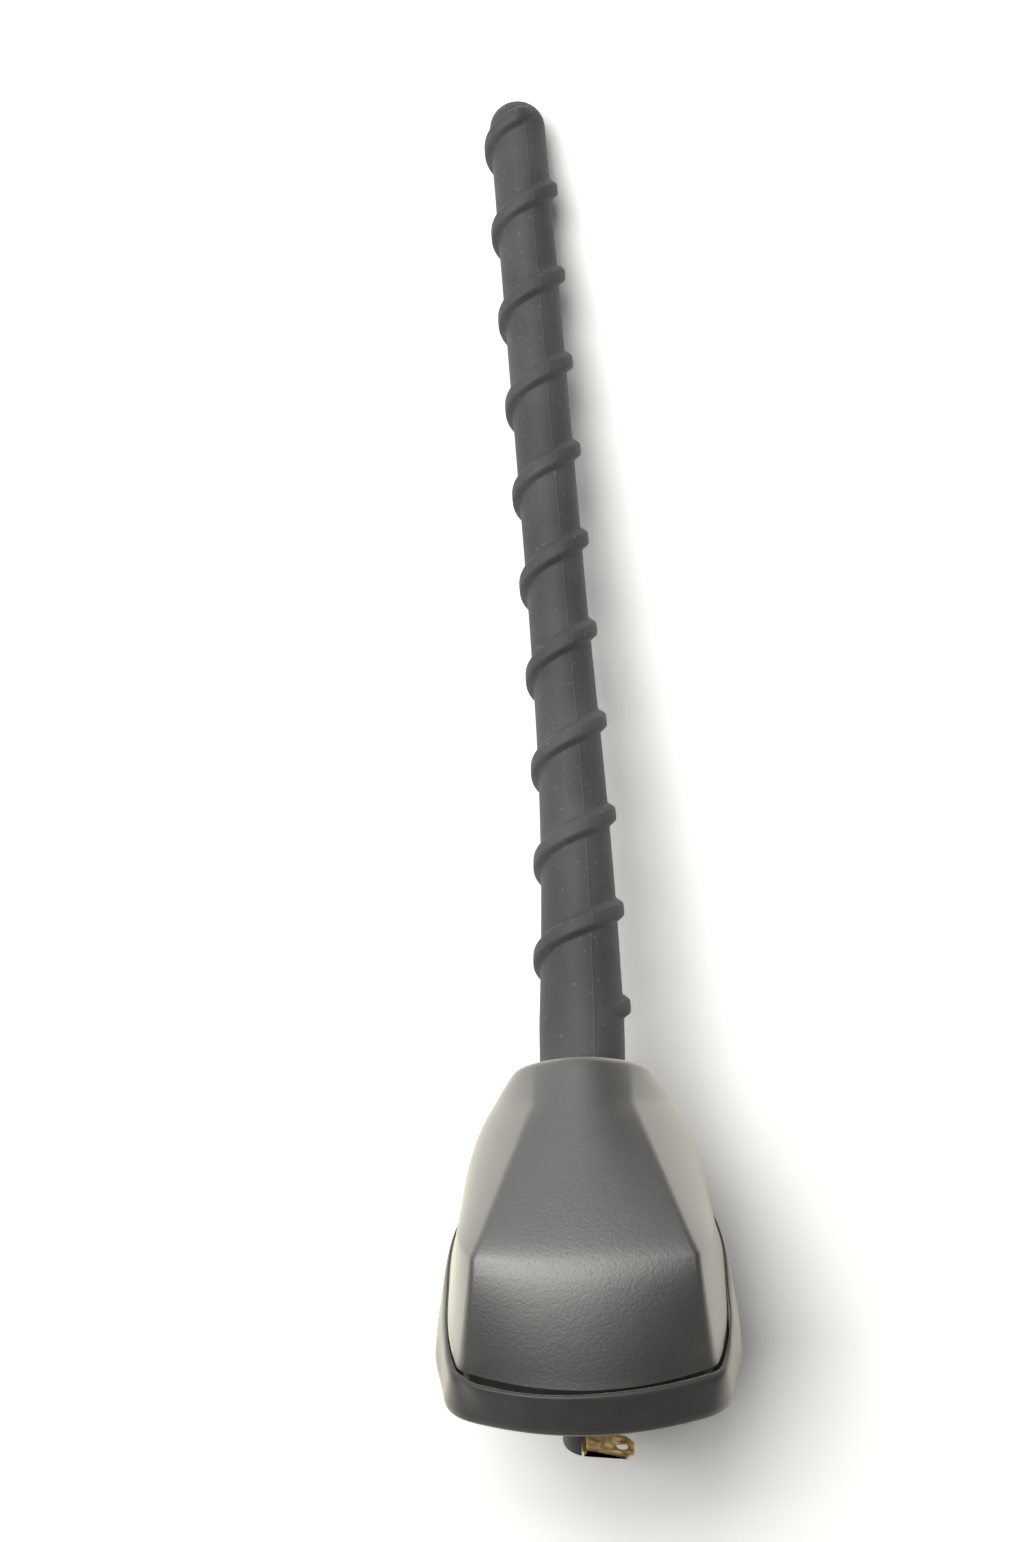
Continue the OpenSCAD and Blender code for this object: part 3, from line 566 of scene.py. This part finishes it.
# %% Outline of a section
FRONT_Y, BACK_Y, HALF_W, FRONT_W = -28.5, 46.3, 25.4, 23.1
FRONT_LEAN, FACE_SLOPE = math.radians(67), math.radians(30)
FRONT_BOW, FOLD_ROUND, FOLD_W, BROW_W, BROW_DROP = 6.6, 2.4, 20.2, 9.0, 4.5
HINGE_Y = NECK_Y + NECK_Z - LIP_Z
NECK_RUN = (NECK_Z - LIP_Z) * math.sqrt(2)
NECK_CORNER_W, NECK_CORNER_BACK = 0.7071 * NECK_R, 0.2929 * NECK_R
BROW_Y, BROW_Z = NECK_Y - NECK_R * math.sqrt(0.5), NECK_Z + NECK_R * math.sqrt(0.5)
FOLD_Y = ((BROW_Z - LIP_Z + math.tan(FRONT_LEAN) * FRONT_Y - math.tan(FACE_SLOPE) * BROW_Y)
          / (math.tan(FRONT_LEAN) - math.tan(FACE_SLOPE)))
FOLD_Z = LIP_Z + math.tan(FRONT_LEAN) * (FOLD_Y - FRONT_Y)
FOLD_A = math.degrees(math.atan2(FOLD_Z - LIP_Z, HINGE_Y - FOLD_Y))
BULGE, FOLD_BOW, FACE_CROWN = 0.8, 2.2, 1.1
FRONT_WIDTHS = [(LIP_Z, FRONT_W), (FOLD_Z, FOLD_W), (BROW_Z - BROW_DROP, BROW_W), (BROW_Z, NECK_CORNER_W)]
WIDEST_SHARES = [(0, 0.475), (16, 0.52), (38, 0.75), (45, 0.5)]
FRONT_STEPS, CORNER_STEPS, SIDE_STEPS, BACK_STEPS = 14, 8, 18, 26
print("fold at", round(FOLD_Y, 1), round(FOLD_Z, 1), "and", round(FOLD_A, 1), "degrees")


def curve(points, t):
    """A Bezier curve through its first and last points, by repeated mixing."""
    while len(points) > 1:
        points = [a.lerp(b, t) for a, b in zip(points, points[1:])]
    return points[0]


def half_outline(front_w, back, side_w, side_at, corner_r, corner_turn, squareness, length):
    """From the middle of the front to the middle of the back, as (across, back) pairs.

    back(share) is how far the front lies behind its middle, at a share of its half width,
    squared. A corner and a flank lead on to the widest place, which is side_w across and
    side_at back, and a quarter of a squarish ellipse closes the outline.
    """
    corner_from = front_w - 0.9 * corner_r
    turn = Vector((math.cos(corner_turn), math.sin(corner_turn)))
    edge, side = Vector((front_w, back(1))), Vector((side_w, side_at))
    start = edge + corner_r * turn
    arm = 0.35 * (side - start).length
    corner = [Vector((corner_from, back((corner_from / front_w) ** 2))), edge, start]
    flank = [start, start + arm * turn, side - Vector((0, arm)), side]
    front = [corner_from * k / FRONT_STEPS for k in range(FRONT_STEPS + 1)]
    points = [Vector((x, back((x / front_w) ** 2))) for x in front]
    points += [curve(corner, k / CORNER_STEPS) for k in range(1, CORNER_STEPS + 1)]
    points += [curve(flank, k / SIDE_STEPS) for k in range(1, SIDE_STEPS + 1)]
    power = 2 / squareness
    for k in range(1, BACK_STEPS + 1):
        a = math.pi / 2 * k / BACK_STEPS
        x = side_w * max(math.cos(a), 0) ** power
        points.append(Vector((x, side_at + (length - side_at) * math.sin(a) ** power)))
    points[-1].x = 0
    return points


def whole(half):
    return half + [Vector((-p.x, p.y)) for p in half[-2:0:-1]]


def hit(y, z, lean, a, hinge):
    """How far from the hinge the plane at angle a meets a line through y and z with that lean."""
    return ((z - LIP_Z) * math.cos(lean) - (y - hinge) * math.sin(lean)) / math.sin(a + lean)


def cover_ring(degrees, inset=0.0, drop=0.0):
    """The section at an angle, moved in by inset, with the neck lowered by drop."""
    a, t = math.radians(degrees), degrees / 45
    hinge = HINGE_Y - drop * math.sqrt(2)
    to_front = hit(FRONT_Y + inset / math.sin(FRONT_LEAN), LIP_Z, FRONT_LEAN, a, hinge)
    to_face = hit(BROW_Y + inset * math.sin(FACE_SLOPE), BROW_Z - inset * math.cos(FACE_SLOPE),
                  FACE_SLOPE, a, hinge)
    to_front += 4 * BULGE * clip(degrees / FOLD_A) * (1 - clip(degrees / FOLD_A))
    run = (to_front + to_face - math.hypot(to_front - to_face, FOLD_ROUND)) / 2
    height = LIP_Z + run * math.sin(a)
    rise = clip((height - FOLD_Z) / (BROW_Z - FOLD_Z))
    bow = mix(FRONT_BOW, FOLD_BOW, clip((height - LIP_Z) / (FOLD_Z - LIP_Z)))
    bow *= math.sin(FRONT_LEAN) / math.sin(a + FRONT_LEAN)
    crown = mix(FACE_CROWN, NECK_CORNER_BACK, rise**1.2)

    def back(share):
        """How far the surface lies behind its middle, at a share of its half width, squared."""
        here, there = to_front - bow * share, to_face - crown * share
        return run - (here + there - math.hypot(here - there, FOLD_ROUND)) / 2

    near = hinge - BACK_Y + inset
    near += (NECK_RUN - drop - NECK_R + inset - near) * t**0.8
    side = NECK_R + (HALF_W - NECK_R) * (1 - 0.54 * t - 0.46 * t**4.7)
    widest = lookup(degrees, WIDEST_SHARES) * (run - near)
    half = half_outline(lookup(height, FRONT_WIDTHS) - inset, back, side - inset, widest, 1.3 - 0.7 * t,
                        math.radians(75 - 30 * t**1.28), 2.4 - 0.4 * t, run - near)
    reached = [(p.x, run - p.y) for p in whole(half)]
    return [Vector((x, hinge - reach * math.cos(a), LIP_Z + reach * math.sin(a))) for x, reach in reached]


# %% [markdown]
# `loft` makes the sheet. Its columns go once round the outline and its rows are the sections,
# so the two side edges meet and are merged at the end. The neck's rim is rounded by moving the
# last sections inwards on a quarter of a circle. Behind the cover's lower edge the wall steps
# in, and this undercut is the dark line that is seen above the gasket's lip.


# %% Loft
def loft(bm, sections):
    """A grid sheet whose rows are moved on to closed sections with equal numbers of points."""
    n, m = len(sections[0]), len(sections)
    made = bmesh.ops.create_grid(bm, x_segments=m - 1, y_segments=n, size=1)["verts"]
    for vert in made:
        i = round((vert.co.x + 1) / 2 * (m - 1))
        j = round((vert.co.y + 1) / 2 * n) % n
        vert.co = sections[i][j]


def toward(points, centre, normal, radius):
    """The ring of that radius about a centre, in the directions of the given points."""
    flat = [p - centre - (p - centre).dot(normal) * normal for p in points]
    return [centre + f.normalized() * radius for f in flat]


def flat_at(points, z):
    return [Vector((p.x, p.y, z)) for p in points]


# %% The cover's sections
RIM_R, RIM_STEPS, SOCKET_HOLE_R, HOLE_EDGE = 1.0, 6, 5.2, 0.2
EDGE_IN, EDGE_Z, EDGE_SOFT, FLOOR_GAP = 1.7, LIP_Z + 0.1, 0.15, 0.05
FRONT_ROWS, FACE_ROWS = 14, 44
mast_axis = Vector((0, math.sqrt(0.5), math.sqrt(0.5)))
rim_span = math.degrees(RIM_R / NECK_RUN)
front_angles = [k / FRONT_ROWS * FOLD_A for k in range(FRONT_ROWS)]
face_angles = [mix(FOLD_A, 45 - rim_span, (k / FACE_ROWS) ** 1.25) for k in range(FACE_ROWS + 1)]

sections = [flat_at(cover_ring(0, EDGE_IN), FLOOR_T + FLOOR_GAP), flat_at(cover_ring(0, EDGE_IN), EDGE_Z),
            flat_at(cover_ring(0, EDGE_SOFT), EDGE_Z), flat_at(cover_ring(0), EDGE_Z + EDGE_SOFT)]
sections += [cover_ring(a) for a in front_angles[1:] + face_angles]
for k in range(1, RIM_STEPS + 1):
    a = math.pi / 2 * k / RIM_STEPS
    sections.append(cover_ring(45 - rim_span * (1 - math.sin(a)), RIM_R * (1 - math.cos(a))))
sections.append(toward(sections[-1], neck, mast_axis, SOCKET_HOLE_R + HOLE_EDGE))
sections.append(toward(sections[-1], neck - HOLE_EDGE * mast_axis, mast_axis, SOCKET_HOLE_R))
ceiling = neck - END_WALL * mast_axis
inner_angles = [45] + face_angles[:0:-4] + [FOLD_A] + front_angles[:0:-3]
inner = [cover_ring(a, WALL, END_WALL) for a in inner_angles]
sections.append(toward(inner[0], ceiling, mast_axis, SOCKET_HOLE_R))
sections += inner + [cover_ring(0, WALL), flat_at(cover_ring(0, WALL), FLOOR_T + FLOOR_GAP), sections[0]]

bm = bmesh.new()
loft(bm, sections)
settle(bm, "cover_moulding", "base", cover_finish, ["cover"], sharp=60)

# %% [markdown]
# ## The gasket
# The cover stands in a soft rubber tray. Its lip ends in a thin rounded bead that stays a
# little away from the cover, wider at the front left. It is the same kind of loft, and it goes
# all the way round the wall: floor, lip, outer face, underside and back through the hole. The
# underside has one groove along its edge and two round ones, and what stands between them
# seals on the roof.

# %% Outlines of the gasket
PAD_FRONT_Y, PAD_LEN, PAD_WIDEST = -30.6, 80, 26
PAD_HALF_W, PAD_FRONT_W, PAD_BOW = 28.1, 25.7, 6.8
PAD_CORNER_R, PAD_CORNER_TURN, PAD_SQUARENESS = 4.8, math.radians(84), 2.43
LIP_T, LIP_SPREAD, SIDE_LIP_SHARE = 1.0, 0.1, 0.4
FRONT_GAPE, SIDE_GAPE = 0.95, 0.25


def pad_ring(z, inset=0.0):
    """The pad's outline at a height, if its wall leaned straight, moved in by inset."""
    t = z / LIP_Z
    half = half_outline(PAD_FRONT_W - 0.8 * t - inset, lambda share: PAD_BOW * share,
                        PAD_HALF_W - 0.6 * t - inset, PAD_WIDEST - 0.8 * t, PAD_CORNER_R, PAD_CORNER_TURN,
                        PAD_SQUARENESS, PAD_LEN - 1.5 * t - 2 * inset)
    return [Vector((p.x, PAD_FRONT_Y + 0.85 * t + inset + p.y, z)) for p in whole(half)]


def round_cover(lip, spread=0.0):
    """The cover's outline moved out: the lip is thickest in front and gapes at the front left."""
    made = []
    for here, further, pad in zip(cover_ring(0), cover_ring(0, -1), pad_ring(LIP_Z)):
        gape = FRONT_GAPE * ramp(-here.y, 22.3, 1.5) * ramp(-here.x, -4, 14)
        gape += SIDE_GAPE * ramp(here.x, 12, 8) * ramp(-here.y, -4, 10)
        thick = lip * mix(SIDE_LIP_SHARE, 1, ramp(-here.y, 10, 12))
        moved = here.lerp(further, LIP_GAP + gape + thick)
        made.append(Vector((*moved.lerp(pad, spread).xy, LIP_Z)))
    return made


def blend_rings(first, second, share, z):
    return [Vector((*a.lerp(b, share).xy, z)) for a, b in zip(first, second)]


# %% [markdown]
# The sections follow the wall as a finger would: out from the hole over the floor, up inside,
# over the bead, down the outer face to the roof, and in again.

# %% The gasket's sections
HOLE_R = 8.95
BEAD_UP, BEAD_STEPS = 0.5, 8
WALL_FOOT, WALL_LEVELS = 0.6, (8.0, 6.8, 5.0, 3.2, 1.8)
GROOVES, GROOVE_DEEP, GROOVE_LEAN = ((14.5, 13.3), (11.5, 10.3)), 0.8, 0.1
stud_axis = Vector((0, 0, 1))
inside, outside = round_cover(0), round_cover(LIP_T, LIP_SPREAD)


def round_hole(radius, z):
    return toward(inside, Vector((0, 0, z)), stud_axis, radius)


sections = [round_hole(HOLE_R, FLOOR_T), flat_at(inside, FLOOR_T), flat_at(inside, LIP_Z - BEAD_UP)]
for k in range(1, BEAD_STEPS):
    a = math.pi * k / BEAD_STEPS
    z = LIP_Z - BEAD_UP + BEAD_UP * math.sin(a)
    sections.append(blend_rings(inside, outside, (1 - math.cos(a)) / 2, z))
for z in WALL_LEVELS:
    sections.append(blend_rings(outside, pad_ring(WALL_FOOT), (1 - z / LIP_Z) ** 0.8, z))
sections += [pad_ring(WALL_FOOT), pad_ring(0.2, 0.15), pad_ring(0.0, 0.5)]
sections += [pad_ring(0.0, 3.6), flat_at(pad_ring(0.0, 3.7), GROOVE_DEEP),
             flat_at(pad_ring(0.0, 5.1), GROOVE_DEEP), pad_ring(0.0, 5.2)]
for outer_r, inner_r in GROOVES:
    sections += [round_hole(outer_r, 0), round_hole(outer_r - GROOVE_LEAN, GROOVE_DEEP),
                 round_hole(inner_r + GROOVE_LEAN, GROOVE_DEEP), round_hole(inner_r, 0)]
sections += [round_hole(HOLE_R, 0), sections[0]]

bm = bmesh.new()
loft(bm, sections)
settle(bm, "gasket_tray", "base", gasket_finish, ["gasket"], sharp=60)

# %% [markdown]
# ## Threads
# The fixing stud has a fine M16 thread and the mast's screw an M6 thread. Both use the screw
# sheet, and the rims are extruded on for the plain ends and the bore.

# %% Threads
THREAD_ROWS, THREAD_PITCH = (0, 0.15, 0.4, 0.6, 0.85, 1.0), 1.0


def thread_r(full, depth, low):
    """Radius on a thread: a wave with flat crests and roots, and a chamfer at its lower end."""
    def radius(s, angle):
        part = ((s - low) / THREAD_PITCH - angle / (2 * math.pi)) % 1
        wave = clip(abs(part - 0.5) * 4 - 0.4)
        return min(full - depth * wave, full - depth - 0.15 + max(s - low, 0))
    return radius


def hexagon(across):
    def radius(angle):
        return across / 2 / math.cos((angle + math.pi / 6) % (math.pi / 3) - math.pi / 6)
    return radius


# %% The stud's thread, its collar and six-sided head, and its bore
STUD_R, STUD_LEN, STUD_DEPTH, THREAD_TOP, BORE_R = 8.0, 16.0, 0.55, -0.5, 5.35
COLLAR_R, COLLAR_Z, ACROSS, HEAD_Z = STUD_R + 0.5, 7.5, 22.0, 10.5
bm = screw_sheet(THREAD_PITCH, THREAD_ROWS, -STUD_LEN, -STUD_LEN, THREAD_TOP, 80)
shape_radius(bm, thread_r(STUD_R, STUD_DEPTH, -STUD_LEN))
rim = rim_at(bm, THREAD_TOP)
for radius, height in ((STUD_R - 0.1, 0.5), (COLLAR_R, 0.5), (COLLAR_R, COLLAR_Z), (hexagon(ACROSS), COLLAR_Z),
                       (hexagon(ACROSS), HEAD_Z), (BORE_R, HEAD_Z), (BORE_R, -STUD_LEN)):
    rim = grow(bm, rim, radius, height)
bmesh.ops.bridge_loops(bm, edges=rim_at(bm, -STUD_LEN))
settle(bm, "threaded_stud", "base", steel_finish, ["fixing_stud"], sharp=28)

# %% The mast's screw
SCREW_LOW, SCREW_HIGH, SCREW_R, SCREW_DEPTH = -9.0, 8.1, 3.0, 0.5
bm = screw_sheet(THREAD_PITCH, THREAD_ROWS, SCREW_LOW, SCREW_LOW, 0.0, 48)
shape_radius(bm, thread_r(SCREW_R, SCREW_DEPTH, SCREW_LOW))
rim = grow(bm, rim_at(bm, 0.0), SCREW_R, 0.4)
bmesh.ops.holes_fill(bm, edges=grow(bm, rim, SCREW_R, SCREW_HIGH))
bmesh.ops.holes_fill(bm, edges=rim_at(bm, SCREW_LOW))
bmesh.ops.transform(bm, matrix=ON_MAST, verts=bm.verts)
settle(bm, "mast_thread", "mast", steel_finish, ["mast_screw"], sharp=28)

# %% [markdown]
# ## Pieces copied from the solids
# The blade and the nose have the right form already. Real ones have no knife edges, so a
# merged copy gets a very small bevel on every edge that is sharper than 30 degrees.


# %% Pieces copied from the solids
def softened(node, name, finish, size):
    bm = bmesh.new()
    bm.from_mesh(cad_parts[node].data)
    bmesh.ops.scale(bm, vec=(1 / MM,) * 3, verts=bm.verts)
    bmesh.ops.remove_doubles(bm, verts=bm.verts, dist=0.002)
    bmesh.ops.dissolve_limit(bm, angle_limit=math.radians(1), verts=bm.verts, edges=bm.edges)
    crisp = [e for e in bm.edges if e.is_manifold and e.calc_face_angle(0.0) > math.radians(30)]
    bmesh.ops.bevel(bm, geom=crisp, offset=size, offset_type="OFFSET", segments=2, profile=0.5,
                    affect="EDGES", clamp_overlap=True, material=-1)
    settle(bm, name, "base", finish, [node], sharp=30, merge=0.0005)


softened("terminal_blade", "blade_tab", blade_finish, 0.07)
softened("stud_insulator", "stud_nose", insulator_finish, 0.15)

# %% [markdown]
# ## Pieces that keep their solid
# The other pieces are inside or hardly seen. Their solids are kept and only get a finish.

# %% Finishes of the pieces that keep their solid
plain = {
    "base_casting": zinc_finish, "cover_screws": steel_finish, "insulator_seal": seal_finish,
    "contact_strip": strip_finish, "strip_rivet": strip_finish, "strip_screw": steel_finish,
    "socket_sleeve": sleeve_finish, "mast_socket": socket_finish, "mast_seal": seal_finish,
    "mast_ferrule": steel_finish, "mast_core": rod_finish, "mast_winding": wire_finish,
    "winding_ring": strip_finish, "winding_sleeve": sleeving_finish,
}
for name, finish in plain.items():
    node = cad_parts[name]
    node.data.materials.clear()
    node.data.materials.append(finish.material)
print("dressed", len(plain), "nodes that keep their solid")
